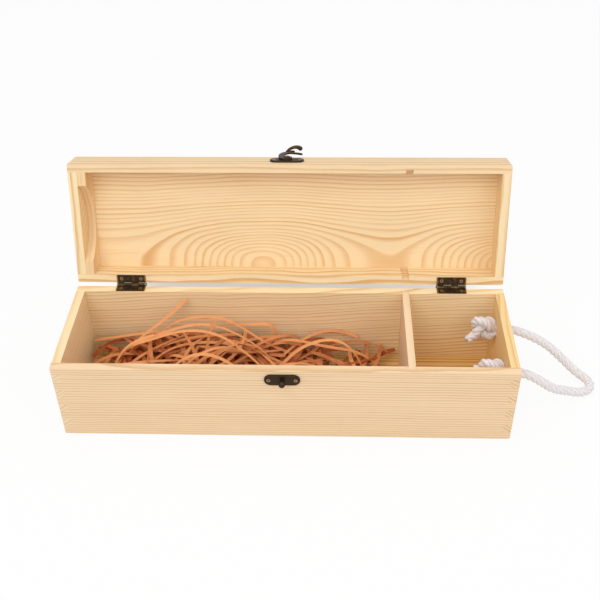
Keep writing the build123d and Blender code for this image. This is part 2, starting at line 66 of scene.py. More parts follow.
def linear(red: int, green: int, blue: int) -> Colour:
    """Turns a colour as a screen shows it into the linear one that a shader takes.

    Args:
        red: Red, 0 to 255.
        green: Green, 0 to 255.
        blue: Blue, 0 to 255.

    Returns:
        The linear colour, each channel from 0 to 1.
    """

    def channel(level: int) -> float:
        """Returns one channel made linear."""
        share = level / 255
        return share / 12.92 if share <= 0.04045 else ((share + 0.055) / 1.055) ** 2.4

    return channel(red), channel(green), channel(blue)


def linked(name: str, data: bpy.types.ID) -> bpy.types.Object:
    """Puts data into the scene.

    Args:
        name: The object's name.
        data: A mesh, curve, camera or lamp.

    Returns:
        The object that holds it.
    """
    holder = bpy.data.objects.new(name, data)
    bpy.context.scene.collection.objects.link(holder)
    return holder


def piece_from(bm: bmesh.types.BMesh, name: str) -> bpy.types.Object:
    """Turns an edited mesh into an object, and frees it.

    Args:
        bm: The edited mesh.
        name: The object's name.

    Returns:
        The object.
    """
    mesh = bpy.data.meshes.new(name)
    bm.to_mesh(mesh)
    bm.free()
    return linked(name, mesh)


# ---- shader expressions


class Val:
    """A number that varies over a surface, with arithmetic that adds Math nodes."""

    def __init__(self, graph: Graph, socket: bpy.types.NodeSocket) -> None:
        """Wraps a socket of a graph.

        Args:
            graph: The graph that the socket belongs to.
            socket: An output socket.
        """
        self.graph = graph
        self.socket = socket

    def _math(self, operation: str, *values: Val | float) -> Val:
        """Adds a Math node.

        Args:
            operation: The node's operation.
            values: What its inputs take, in order.

        Returns:
            The node's result.
        """
        node = self.graph.add("ShaderNodeMath", {"operation": operation})
        for slot, value in enumerate(values):
            self.graph.feed(node.inputs[slot], value)
        return Val(self.graph, node.outputs[0])

    def __add__(self, other: Val | float) -> Val:
        """Returns the sum."""
        return self._math("ADD", self, other)

    def __radd__(self, other: float) -> Val:
        """Returns the sum, with the number first."""
        return self._math("ADD", other, self)

    def __sub__(self, other: Val | float) -> Val:
        """Returns the difference."""
        return self._math("SUBTRACT", self, other)

    def __rsub__(self, other: float) -> Val:
        """Returns the difference, with the number first."""
        return self._math("SUBTRACT", other, self)

    def __mul__(self, other: Val | float) -> Val:
        """Returns the product."""
        return self._math("MULTIPLY", self, other)

    def __truediv__(self, other: Val | float) -> Val:
        """Returns the quotient."""
        return self._math("DIVIDE", self, other)

    def __pow__(self, power: float) -> Val:
        """Returns the power."""
        return self._math("POWER", self, power)

    def __abs__(self) -> Val:
        """Returns the size without its sign."""
        return self._math("ABSOLUTE", self)

    def root(self) -> Val:
        """Returns the square root."""
        return self._math("SQRT", self)

    def sine(self) -> Val:
        """Returns the sine."""
        return self._math("SINE", self)

    def exponent(self) -> Val:
        """Returns e to this power."""
        return self._math("EXPONENT", self)

    def fraction(self) -> Val:
        """Returns what is left over past the last whole number."""
        return self._math("FRACT", self)

    def least(self, other: Val | float) -> Val:
        """Returns the smaller of two."""
        return self._math("MINIMUM", self, other)

    def most(self, other: Val | float) -> Val:
        """Returns the larger of two."""
        return self._math("MAXIMUM", self, other)

    def rise(self, low: float, high: float) -> Val:
        """Returns a smooth step, 0 at low and 1 at high, which may be the smaller one."""
        node = self.graph.add(
            "ShaderNodeMapRange",
            {"interpolation_type": "SMOOTHSTEP"},
            {"Value": self, "From Min": low, "From Max": high},
        )
        return Val(self.graph, node.outputs[0])


class Graph:
    """The nodes of a material or of the world."""

    def __init__(self, owner: bpy.types.Material | bpy.types.World) -> None:
        """Empties the owner's tree.

        Args:
            owner: What the nodes belong to.
        """
        owner.use_nodes = True
        self.owner = owner
        self.tree = owner.node_tree
        self.tree.nodes.clear()

    @classmethod
    def named(cls, name: str) -> Graph:
        """Returns the graph of a new material with this name."""
        return cls(bpy.data.materials.new(name))

    def add(
        self,
        kind: str,
        settings: dict[str, object] | None = None,
        sockets: dict[str, object] | None = None,
    ) -> bpy.types.Node:
        """Adds a node.

        Args:
            kind: The node's type.
            settings: Its settings; the key "stops" fills a ramp.
            sockets: The values or links of its inputs, by name.

        Returns:
            The node.
        """
        node = self.tree.nodes.new(kind)
        for key, value in (settings or {}).items():
            if key == "stops":
                self._fill_ramp(node.color_ramp, value)
            else:
                setattr(node, key, value)
        for key, value in (sockets or {}).items():
            self.feed(node.inputs[key], value)
        return node

    def _fill_ramp(self, ramp: bpy.types.ColorRamp, stops: list[tuple[float, Colour]]) -> None:
        """Gives a ramp its stops.

        Args:
            ramp: The ramp.
            stops: Place and colour of each stop.
        """
        while len(ramp.elements) < len(stops):
            ramp.elements.new(1.0)
        for element, (place, colour) in zip(ramp.elements, stops):
            element.position = place
            element.color = (*colour, 1.0)

    def feed(self, socket: bpy.types.NodeSocket, value: object) -> None:
        """Links or sets one input.

        Args:
            socket: The input.
            value: A Val, an output socket, a number, a vector or a colour.
        """
        if isinstance(value, Val):
            self.tree.links.new(value.socket, socket)
        elif isinstance(value, bpy.types.NodeSocket):
            self.tree.links.new(value, socket)
        elif socket.type == "RGBA":
            socket.default_value = (*value, 1.0)
        else:
            socket.default_value = value

    def number(self, socket: bpy.types.NodeSocket) -> Val:
        """Returns an output socket as a Val."""
        return Val(self, socket)

    def seen(self) -> Val:
        """Returns 1 for the rays that show the place itself, and 0 for those that light by it."""
        rays = self.add("ShaderNodeLightPath").outputs
        mirrored = self.number(rays["Is Camera Ray"]).most(self.number(rays["Is Glossy Ray"]))
        return mirrored.most(self.number(rays["Is Transmission Ray"]))

    def split(self, vector: bpy.types.NodeSocket) -> tuple[Val, Val, Val]:
        """Returns the three parts of a vector."""
        node = self.add("ShaderNodeSeparateXYZ", None, {"Vector": vector})
        return tuple(Val(self, output) for output in node.outputs)

    def join(self, x: Val | float, y: Val | float, z: Val | float) -> bpy.types.NodeSocket:
        """Returns a vector made of three numbers."""
        return self.add("ShaderNodeCombineXYZ", None, {"X": x, "Y": y, "Z": z}).outputs[0]

    def noise(self, vector: bpy.types.NodeSocket, scale: float, detail: float = 2.0) -> Val:
        """Adds a noise about zero.

        Args:
            vector: Where it is read.
            scale: How often it changes for each unit.
            detail: Its octaves.

        Returns:
            The noise, from about -0.5 to 0.5.
        """
        inputs = {"Vector": vector, "Scale": scale, "Detail": detail}
        return Val(self, self.add("ShaderNodeTexNoise", None, inputs).outputs[0]) - 0.5

    def mix(self, factor: Val | float, first: object, second: object) -> bpy.types.NodeSocket:
        """Returns a colour between two, first at 0 and second at 1."""
        node = self.add("ShaderNodeMix", {"data_type": "RGBA"})
        self.feed(node.inputs[0], factor)
        self.feed(node.inputs[6], first)
        self.feed(node.inputs[7], second)
        return node.outputs[2]

    def shade(self, colour: object, level: Val) -> bpy.types.NodeSocket:
        """Returns a colour made darker or lighter by a number about 1."""
        node = self.add("ShaderNodeVectorMath", {"operation": "SCALE"})
        self.feed(node.inputs[0], colour)
        self.feed(node.inputs["Scale"], level)
        return node.outputs[0]

    def bump(self, height: Val, distance: float, strength: float = 1.0) -> bpy.types.NodeSocket:
        """Returns a normal tilted by a height, which is times distance in metres."""
        inputs = {"Height": height, "Distance": distance, "Strength": strength}
        return self.add("ShaderNodeBump", None, inputs).outputs[0]

    def surface(self, **sockets: object) -> bpy.types.Material:
        """Ends the tree with a Principled shader.

        Args:
            sockets: Its inputs, with underscores for spaces.

        Returns:
            The material.
        """
        inputs = {key.replace("_", " "): value for key, value in sockets.items()}
        shader = self.add("ShaderNodeBsdfPrincipled", None, inputs)
        self.add("ShaderNodeOutputMaterial", None, {"Surface": shader.outputs[0]})
        return self.owner


# ---- frames of the boards


class Carrier(Enum):
    """The body that a piece belongs to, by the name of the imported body."""

    BASE = "base"
    LID = "lid"


class Grain(Enum):
    """The way the wood's fibres run in a board, in the box's closed state."""

    LENGTHWISE = (0.0, 0.0, 0.0)
    CROSSWISE = (0.0, 0.0, 90.0)


def closed_frame(carrier: Carrier) -> Matrix:
    """Gives the frame in which a piece's pattern is laid out.

    Args:
        carrier: The body of the piece.

    Returns:
        The box's own frame for the base, and otherwise the open lid's, about the hinge line.
    """
    if carrier is Carrier.BASE:
        return Matrix.Identity(4)
    turn = Matrix.Rotation(-math.radians(OPEN_ANGLE), 4, "X")
    return Matrix.Translation(HINGE_LINE) @ turn


def laid_out(graph: Graph, frame: Matrix) -> Place:
    """Reads the place on a piece in a frame.

    Args:
        graph: The material's graph.
        frame: The frame, in metres.

    Returns:
        The place in the frame, in millimetres.
    """
    inputs = {"Location": frame.to_translation(), "Scale": (MM, MM, MM)}
    return read_in(graph, frame, "Object", inputs)


def read_in(graph: Graph, frame: Matrix, kind: str, inputs: dict[str, object]) -> Place:
    """Reads one of the surface's coordinates in a frame.

    Args:
        graph: The material's graph.
        frame: The frame.
        kind: The coordinate, such as "Normal".
        inputs: The mapping's inputs besides its rotation.

    Returns:
        Its three parts.
    """
    vector = graph.add("ShaderNodeTexCoord").outputs[kind]
    inputs = {"Vector": vector, "Rotation": frame.to_euler(), **inputs}
    mapped = graph.add("ShaderNodeMapping", {"vector_type": "TEXTURE"}, inputs)
    return graph.split(mapped.outputs[0])


# ---- finishes


@dataclass(frozen=True)
class PineFinish:
    """Sanded pine without varnish, with its growth rings.

    Sizes are in millimetres in the board's grain frame, whose X runs with the fibres.
    """

    name: str
    carrier: Carrier
    grain: Grain = Grain.LENGTHWISE
    ring: float = 2.8
    pith: tuple[float, float] = (0.0, -220.0)
    sway: float = 1.6
    seed: float = 0.0
    light: Colour = linear(247, 222, 178)
    dark: Colour = linear(222, 178, 120)
    line_strength: float = 0.85
    pith_depths: tuple[tuple[float, float], ...] = ()
    crowding: float = 0.0
    roundness: float = 2.0
    end_strength: float = 0.55
    golden: float = 0.30
    tilt: float = 0.0

    def build(self) -> bpy.types.Material:
        """Returns the material."""
        graph = Graph.named(self.name)
        frame = closed_frame(self.carrier) @ Euler(
            [math.radians(angle) for angle in self.grain.value]
        ).to_matrix().to_4x4()
        place = laid_out(graph, frame)
        along, across, depth = place
        late, strong = self._latewood(graph, self._rings(graph, place), place)
        fibre = self._fibres(graph, place)
        ends = abs(read_in(graph, frame, "Normal", {})[0]).rise(0.62, 0.82)

        broad = graph.noise(
            graph.join(along * 0.012 + self.seed, across * 0.06, depth * 0.06), 1.0, 3.0
        )
        tone = 1.0 + broad * 0.10 + fibre * 0.13
        colour = graph.mix(late * strong, self.light, self.dark)
        streak = graph.noise(
            graph.join(along * 0.02 + self.seed + 7, across * 0.35, depth * 0.35), 1.0, 2.0
        ).rise(0.10, 0.34)
        colour = graph.mix(streak * self.golden, colour, linear(238, 190, 124))
        pores = graph.noise(graph.join(along * 2.4, across * 2.4, depth * 2.4), 1.0, 2.0)
        end_colour = graph.mix(late * 0.6, linear(232, 204, 172), linear(196, 158, 128))
        end_colour = graph.shade(end_colour, 1.0 + pores * 0.35)
        colour = graph.mix(ends * self.end_strength, graph.shade(colour, tone), end_colour)
        height = fibre * 0.6 - late * strong * 0.35 + pores * ends * 0.8
        return graph.surface(
            Base_Color=colour,
            Roughness=0.56 + late * 0.06 - fibre * 0.10,
            Normal=graph.bump(height, 0.00018, 0.55),
            Specular_IOR_Level=0.28,
        )

    def _rings(self, graph: Graph, place: Place) -> Val:
        """Counts the growth rings from the pith.

        Args:
            graph: The material's graph.
            place: Along the fibres, across the board and through it.

        Returns:
            The number of rings, whose fraction is the place in a ring.
        """
        along, across, depth = place
        slow = graph.join(along * 0.009 + self.seed, across * 0.02, depth * 0.02)
        quick = graph.join(along * 0.035 + self.seed, across * 0.10, depth * 0.10 + self.seed)
        sway = graph.noise(slow, 1.0, 2.0) * (self.sway * 6.0)
        sway = sway + graph.noise(quick, 1.0, 2.0) * (self.sway * 1.1)
        pith_across, pith_depth = self.pith
        reach = across - pith_across - along * self.tilt + sway
        if self.pith_depths:
            low, high = self.pith_depths[0][0], self.pith_depths[-1][0]
            deepest = max(level for _, level in self.pith_depths)
            stops = [
                ((spot - low) / (high - low), (level / deepest,) * 3)
                for spot, level in self.pith_depths
            ]
            ramp = graph.add("ShaderNodeValToRGB", {"stops": stops})
            ramp.color_ramp.interpolation = "B_SPLINE"
            graph.feed(ramp.inputs[0], (along + sway * 1.5 - low) / (high - low))
            below = graph.number(ramp.outputs[0]) * deepest + depth * 0.3
        else:
            below = depth - pith_depth + sway - along * self.tilt
            reach = across - pith_across
        radius = (abs(reach) ** self.roundness + abs(below) ** self.roundness) ** (
            1.0 / self.roundness
        )
        width = graph.noise(graph.join(radius * 0.05, self.seed, 0.0), 1.0, 1.0)
        count = radius / self.ring + width * 3.0
        if self.crowding:
            count = count - ((radius * -0.035).exponent()) * self.crowding
        return count + self.seed

    def _latewood(self, graph: Graph, rings: Val, place: Place) -> tuple[Val, Val]:
        """Makes the dark part of each ring.

        Args:
            graph: The material's graph.
            rings: The ring count.
            place: Along the fibres, across the board and through it.

        Returns:
            How far a place is latewood, and how strong that ring is.
        """
        along, across, depth = place
        share = rings.fraction()
        late = share.rise(0.38, 0.88) * share.rise(1.0, 0.90)
        each = graph.noise(graph.join(rings * 0.7, self.seed, 0.0), 1.0, 1.0)
        patch = graph.noise(graph.join(along * 0.02, across * 0.05, depth * 0.05), 1.0, 2.0)
        strong = (self.line_strength + each * 1.5 + patch * 0.7).most(0.10)
        return late, strong.least(1.25)

    def _fibres(self, graph: Graph, place: Place) -> Val:
        """Returns the fine lines of the fibres, about zero."""
        along, across, depth = place
        fine = graph.noise(
            graph.join(along * 0.05 + self.seed, across * 1.9, depth * 1.9), 1.0, 3.0
        )
        finer = graph.noise(graph.join(along * 0.16, across * 5.0, depth * 5.0), 1.0, 2.0)
        return fine + finer * 0.6


class FacePlane(Enum):
    """The two directions of the face that a fitting shows, and the one out of it."""

    TOP = (0, 1, 2)
    FRONT = (0, 2, 1)


@dataclass(frozen=True)
class BronzeFinish:
    """Dark antique bronze, rubbed bright where it is touched."""

    name: str
    carrier: Carrier
    centre: Point = (0.0, 0.0, 0.0)
    half: Point = (1e3, 1e3, 1e3)
    seed: float = 0.0
    rubbed: float = 0.5
    dark: Colour = linear(60, 45, 28)
    bright: Colour = linear(158, 130, 80)

    def build(self) -> bpy.types.Material:
        """Returns the material."""
        graph = Graph.named(self.name)
        place = laid_out(graph, closed_frame(self.carrier))
        offsets = [
            abs(part - middle) / size
            for part, middle, size in zip(place, self.centre, self.half)
        ]
        edge = offsets[0].most(offsets[1]).rise(0.86, 1.0)
        cloud = graph.noise(graph.join(place[0] + self.seed, place[1], place[2]), 0.32, 3.0)
        speck = graph.noise(graph.join(place[0], place[1] + self.seed, place[2]), 2.6, 3.0)
        worn = (edge * 0.6 + cloud * 1.1 + speck * 0.9 + self.rubbed - 0.55).rise(0.05, 0.75)
        colour = graph.mix(worn, self.dark, self.bright)
        return graph.surface(
            Base_Color=colour,
            Metallic=0.82,
            Roughness=0.50 - worn * 0.16 + speck * 0.14,
            Normal=graph.bump(speck + cloud, 0.00012, 0.5),
        )


@dataclass(frozen=True)
class NailFinish:
    """Bronze nail heads, with a painted highlight on the raised ring of each head about a dark
    middle that is painted shade of its dimple.
    """

    name: str
    carrier: Carrier
    plane: FacePlane
    heads: tuple[tuple[float, float], ...]
    seed: float = 0.0

    def build(self) -> bpy.types.Material:
        """Returns the material."""
        graph = Graph.named(self.name)
        place = laid_out(graph, closed_frame(self.carrier))
        first, second, _ = self.plane.value
        far: Val | None = None
        for right, up in self.heads:
            aside, above = place[first] - right, place[second] - up
            away = (aside * aside + above * above).root()
            far = away if far is None else far.least(away)
        # the ring's bright colour is a painted highlight on the head's raised rim, and the dark
        # middle inside it is painted shade in the dimple
        ring = far.rise(0.45, 0.85) * far.rise(1.62, 1.25)
        speck = graph.noise(graph.join(place[0], place[1], place[2] + self.seed), 1.6, 2.0)
        colour = graph.mix(
            (ring * 0.95 + speck * 0.5).most(0.0), linear(48, 36, 26), linear(168, 140, 96)
        )
        return graph.surface(
            Base_Color=colour,
            Metallic=0.85,
            Roughness=0.46 - ring * 0.12,
            Normal=graph.bump(speck, 0.00012, 0.5),
        )


@dataclass(frozen=True)
class CottonFinish:
    """White cotton yarn, with painted shade in the grooves of its twist; the strand's own map runs
    along it in X and round it in Y.
    """

    name: str = "white_cotton"
    light: Colour = linear(240, 236, 234)
    # the grooves' colour is painted shade: a greyish lilac that stands for the dark of the hollows
    # between the yarns
    groove_shade: Colour = linear(212, 203, 210)

    def build(self) -> bpy.types.Material:
        """Returns the material."""
        graph = Graph.named(self.name)
        chart = graph.add("ShaderNodeUVMap", {"uv_map": "strand"}).outputs[0]
        along, around, _ = graph.split(chart)
        yarn = graph.noise(graph.join(along * 1.4 + around * 9.0, around * 30.0, 0.0), 1.0, 2.0)
        wave = ((along * 1.9 + around * 31.4).sine()) * 0.5
        fluff = graph.noise(graph.add("ShaderNodeTexCoord").outputs["Object"], 900.0, 3.0)
        level = yarn * 0.5 + wave * 0.35 + fluff * 0.5
        # where the height is low, in the grooves between the yarns, the colour is painted darker
        # as shade
        colour = graph.mix(level.rise(0.35, -0.55), self.light, self.groove_shade)
        return graph.surface(
            Base_Color=colour,
            Roughness=0.92 - fluff * 0.1,
            Normal=graph.bump(level, 0.00022, 0.6),
            Specular_IOR_Level=0.2,
            Sheen_Weight=0.25,
            Sheen_Roughness=0.6,
        )


@dataclass(frozen=True)
class PaperFinish:
    """Tan packing paper; each strip has its own darkness, partly its own tone and partly painted
    shade for the strips that lie deep in the pile.
    """

    name: str = "tan_paper"
    light: Colour = linear(235, 163, 104)
    # the deep colour is the strips' darker tone and also painted shade for the strips low in the
    # pile
    deep: Colour = linear(164, 74, 28)

    def build(self) -> bpy.types.Material:
        """Returns the material."""
        graph = Graph.named(self.name)
        chart = graph.add("ShaderNodeUVMap", {"uv_map": "strip"}).outputs[0]
        along, shade, _ = graph.split(chart)
        crease = graph.noise(graph.join(along * 0.35, shade * 40.0, 0.0), 1.0, 3.0)
        fibre = graph.noise(graph.add("ShaderNodeTexCoord").outputs["Object"], 1400.0, 2.0)
        colour = graph.mix((shade + crease * 0.35).rise(0.0, 1.0), self.light, self.deep)
        return graph.surface(
            Base_Color=graph.shade(colour, 1.0 + fibre * 0.16),
            Roughness=0.70 + crease * 0.12,
            Normal=graph.bump(crease + fibre * 0.3, 0.0003, 0.6),
            Specular_IOR_Level=0.3,
        )


# ---- sub-assemblies


def dress(finishes: dict[str, PineFinish | BronzeFinish | NailFinish]) -> None:
    """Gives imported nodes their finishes.

    Args:
        finishes: The finish of each node, by the node's name.
    """
    for node, finish in finishes.items():
        piece = bpy.data.objects[node]
        piece.data.materials.clear()
        piece.data.materials.append(finish.build())
        LOG.info("%s has %s", node, finish.name)


def stand_in(piece: bpy.types.Object, node: str, material: bpy.types.Material) -> None:
    """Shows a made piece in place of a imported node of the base.

    Args:
        piece: The piece.
        node: The node's name.
        material: The piece's material.
    """
    piece.data.materials.append(material)
    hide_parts(node)
    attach(piece, Carrier.BASE.value)
    LOG.info("%s has %d faces", piece.name, len(piece.data.polygons))


@dataclass
class PineCase:
    """The boards of the base."""

    def dress(self) -> None:
        """Gives each board its own cut of pine."""
        base = Carrier.BASE
        cuts = {
            "base_front_board": PineFinish(
                "front_board_pine", base, ring=2.5, seed=3.1, sway=0.7, line_strength=0.62,
                light=linear(240, 211, 173), dark=linear(214, 170, 120), golden=0.16,
            ),
            "base_back_board": PineFinish(
                "back_board_pine", base, ring=3.1, seed=11.4, sway=1.5, pith=(0.0, -70.0),
                line_strength=0.6, tilt=0.05, light=linear(252, 227, 182),
            ),
            "base_left_end": PineFinish(
                "left_end_pine", base, Grain.CROSSWISE, ring=3.4, seed=5.7, sway=0.8,
                line_strength=0.32,
            ),
            "base_right_end": PineFinish(
                "right_end_pine", base, Grain.CROSSWISE, ring=3.0, seed=8.2, sway=1.4,
                light=linear(244, 210, 152),
            ),
            "base_bottom_panel": PineFinish(
                "bottom_pine", base, ring=3.6, seed=14.9, sway=2.6, pith=(-30.0, -14.0),
                line_strength=0.9, light=linear(236, 194, 122), dark=linear(196, 140, 72),
            ),
            "divider_board": PineFinish(
                "divider_pine", base, Grain.CROSSWISE, ring=2.4, seed=17.3, sway=0.6,
                pith=(0.0, -160.0), light=linear(240, 212, 176), line_strength=0.5, golden=0.1,
            ),
        }
        dress(cuts)


@dataclass
class PineLid:
    """The lid's rails, panel and neck rest."""

    oval_across: float = -8.5  # middle of the panel's oval figure, across the board

    def dress(self) -> None:
        """Gives each board its own cut of pine, and the panel its oval figure."""
        lid = Carrier.LID
        depths = (
            (-180.0, 34.0), (-120.0, 36.0), (-75.0, 25.0), (-22.0, 1.0),
            (30.0, 26.0), (88.0, 34.0), (130.0, 24.0), (180.0, 2.0),
        )
        cuts = {
            "lid_top_panel": PineFinish(
                "panel_pine", lid, ring=3.1, seed=0.35, sway=0.8, roundness=3.2, golden=0.5,
                light=linear(249, 221, 176), dark=linear(226, 176, 116),
                pith=(self.oval_across, 0.0), pith_depths=depths, crowding=6.0,
                line_strength=0.58,
            ),
            "lid_front_rail": PineFinish(
                "lid_front_pine", lid, ring=4.2, seed=23.0, sway=1.0, pith=(40.0, -120.0),
                light=linear(240, 212, 172),
            ),
            "lid_back_rail": PineFinish(
                "lid_back_pine", lid, ring=4.6, seed=27.5, sway=4.0, pith=(25.0, -18.0)
            ),
            "lid_left_end": PineFinish(
                "lid_left_pine", lid, Grain.CROSSWISE, ring=3.2, seed=31.0, sway=1.2
            ),
            "lid_right_end": PineFinish(
                "lid_right_pine", lid, Grain.CROSSWISE, ring=3.4, seed=36.0, sway=1.2
            ),
            "neck_rest": PineFinish(
                "neck_rest_pine", lid, Grain.CROSSWISE, ring=3.0, seed=41.0, sway=0.6,
                pith=(-160.0, 0.0), line_strength=0.5, end_strength=0.12,
                light=linear(240, 208, 160),
            ),
        }
        dress(cuts)


@dataclass
class BronzeFittings:
    """Hinges, hasp and catch, with their nails; sizes in millimetres."""

    leaf_half: Point = (12, 5.2, 9)
    no_edge: Point = (1e3, 1e3, 1e3)
    leaf_nail: tuple[float, float] = (8.0, 5.0)
    plate_nail: float = 10.2
    hasp_up: float = 10.5
    rim_up: float = 71.4
    catch_up: float = 62.0

    def dress(self) -> None:
        """Gives every fitting its bronze."""
        hinges = {}
        for side, x in zip(("left", "right"), HINGE_X):
            parts = (
                ("base_leaf", Carrier.BASE, (x, 46.5, 70.3), self.leaf_half, x, 0.62),
                ("lid_leaf", Carrier.LID, (x, -5.1, 0.4), self.leaf_half, x + 5, 0.62),
                ("pin", Carrier.BASE, (0.0, 0.0, 0.0), self.no_edge, x + 9, 0.75),
            )
            for part, carrier, centre, half, seed, rubbed in parts:
                finish = BronzeFinish(f"{side}_{part}_bronze", carrier, centre, half, seed, rubbed)
                hinges[f"hinge_{side}_{part}"] = finish
        dress(hinges)
        aside, deep = self.leaf_nail
        places = [x + way * aside for x in HINGE_X for way in (-1, 1)]
        hinge = HINGE_LINE / MM
        base_heads = tuple((x, hinge.y - deep) for x in places)
        lid_heads = tuple((x, -deep) for x in places)
        rise = self.rim_up + self.hasp_up - hinge.z
        hasp_heads = tuple((PLATE_X + way * self.plate_nail, rise) for way in (-1, 1))
        catch_heads = tuple((PLATE_X + way * self.plate_nail, self.catch_up) for way in (-1, 1))
        base, lid, top, front = Carrier.BASE, Carrier.LID, FacePlane.TOP, FacePlane.FRONT
        nails = {
            "hinge_base_nails": NailFinish("hinge_base_nail_bronze", base, top, base_heads),
            "hinge_lid_nails": NailFinish("hinge_lid_nail_bronze", lid, top, lid_heads),
            "hasp_plate_nails": NailFinish("hasp_nail_bronze", lid, front, hasp_heads),
            "catch_plate_nails": NailFinish("catch_nail_bronze", base, front, catch_heads),
        }
        dress(nails)
        fittings = {
            "hasp_plate": BronzeFinish("hasp_plate_bronze", lid, seed=2.0, rubbed=0.35),
            "hasp_rivet": BronzeFinish("rivet_bronze", lid, seed=4.0, rubbed=0.7),
            "hasp_hook": BronzeFinish("hook_bronze", lid, seed=6.0, rubbed=0.6),
            "catch_plate": BronzeFinish("catch_plate_bronze", base, seed=8.0, rubbed=0.3),
            "catch_stud": BronzeFinish("stud_bronze", base, seed=10.0, rubbed=0.55),
        }
        dress(fittings)


def line_of(points: list[Point], name: str, step: float) -> list[Vector]:
    """Reads even points from the smooth line of some control points.

    Args:
        points: Control points, in millimetres.
        name: A name for the curve while it is read.
        step: Distance between the points, in millimetres.

    Returns:
        The points of the line, in metres.
    """
    curve = bpy.data.curves.new(name, "CURVE")
    curve.dimensions = "3D"
    curve.resolution_u = 24
    spline = curve.splines.new("NURBS")
    spline.points.add(len(points) - 1)
    for control, place in zip(spline.points, points):
        control.co = (*(Vector(place) * MM), 1.0)
    spline.order_u = 3
    spline.use_endpoint_u = True
    holder = linked(name, curve)
    bpy.context.view_layer.update()
    drawn = holder.evaluated_get(bpy.context.evaluated_depsgraph_get())
    mesh = bpy.data.meshes.new_from_object(drawn)
    read = [vertex.co.copy() for vertex in mesh.vertices]
    bpy.data.objects.remove(holder)
    bpy.data.meshes.remove(mesh)
    total = sum((b - a).length for a, b in zip(read, read[1:]))
    count = max(2, round(total / (step * MM)))
    even, gone, index = [read[0]], 0.0, 0
    for number in range(1, count):
        wanted = total * number / count
        while gone + (read[index + 1] - read[index]).length < wanted:
            gone += (read[index + 1] - read[index]).length
            index += 1
        share = (wanted - gone) / (read[index + 1] - read[index]).length
        even.append(read[index].lerp(read[index + 1], share))
    even.append(read[-1])
    return even


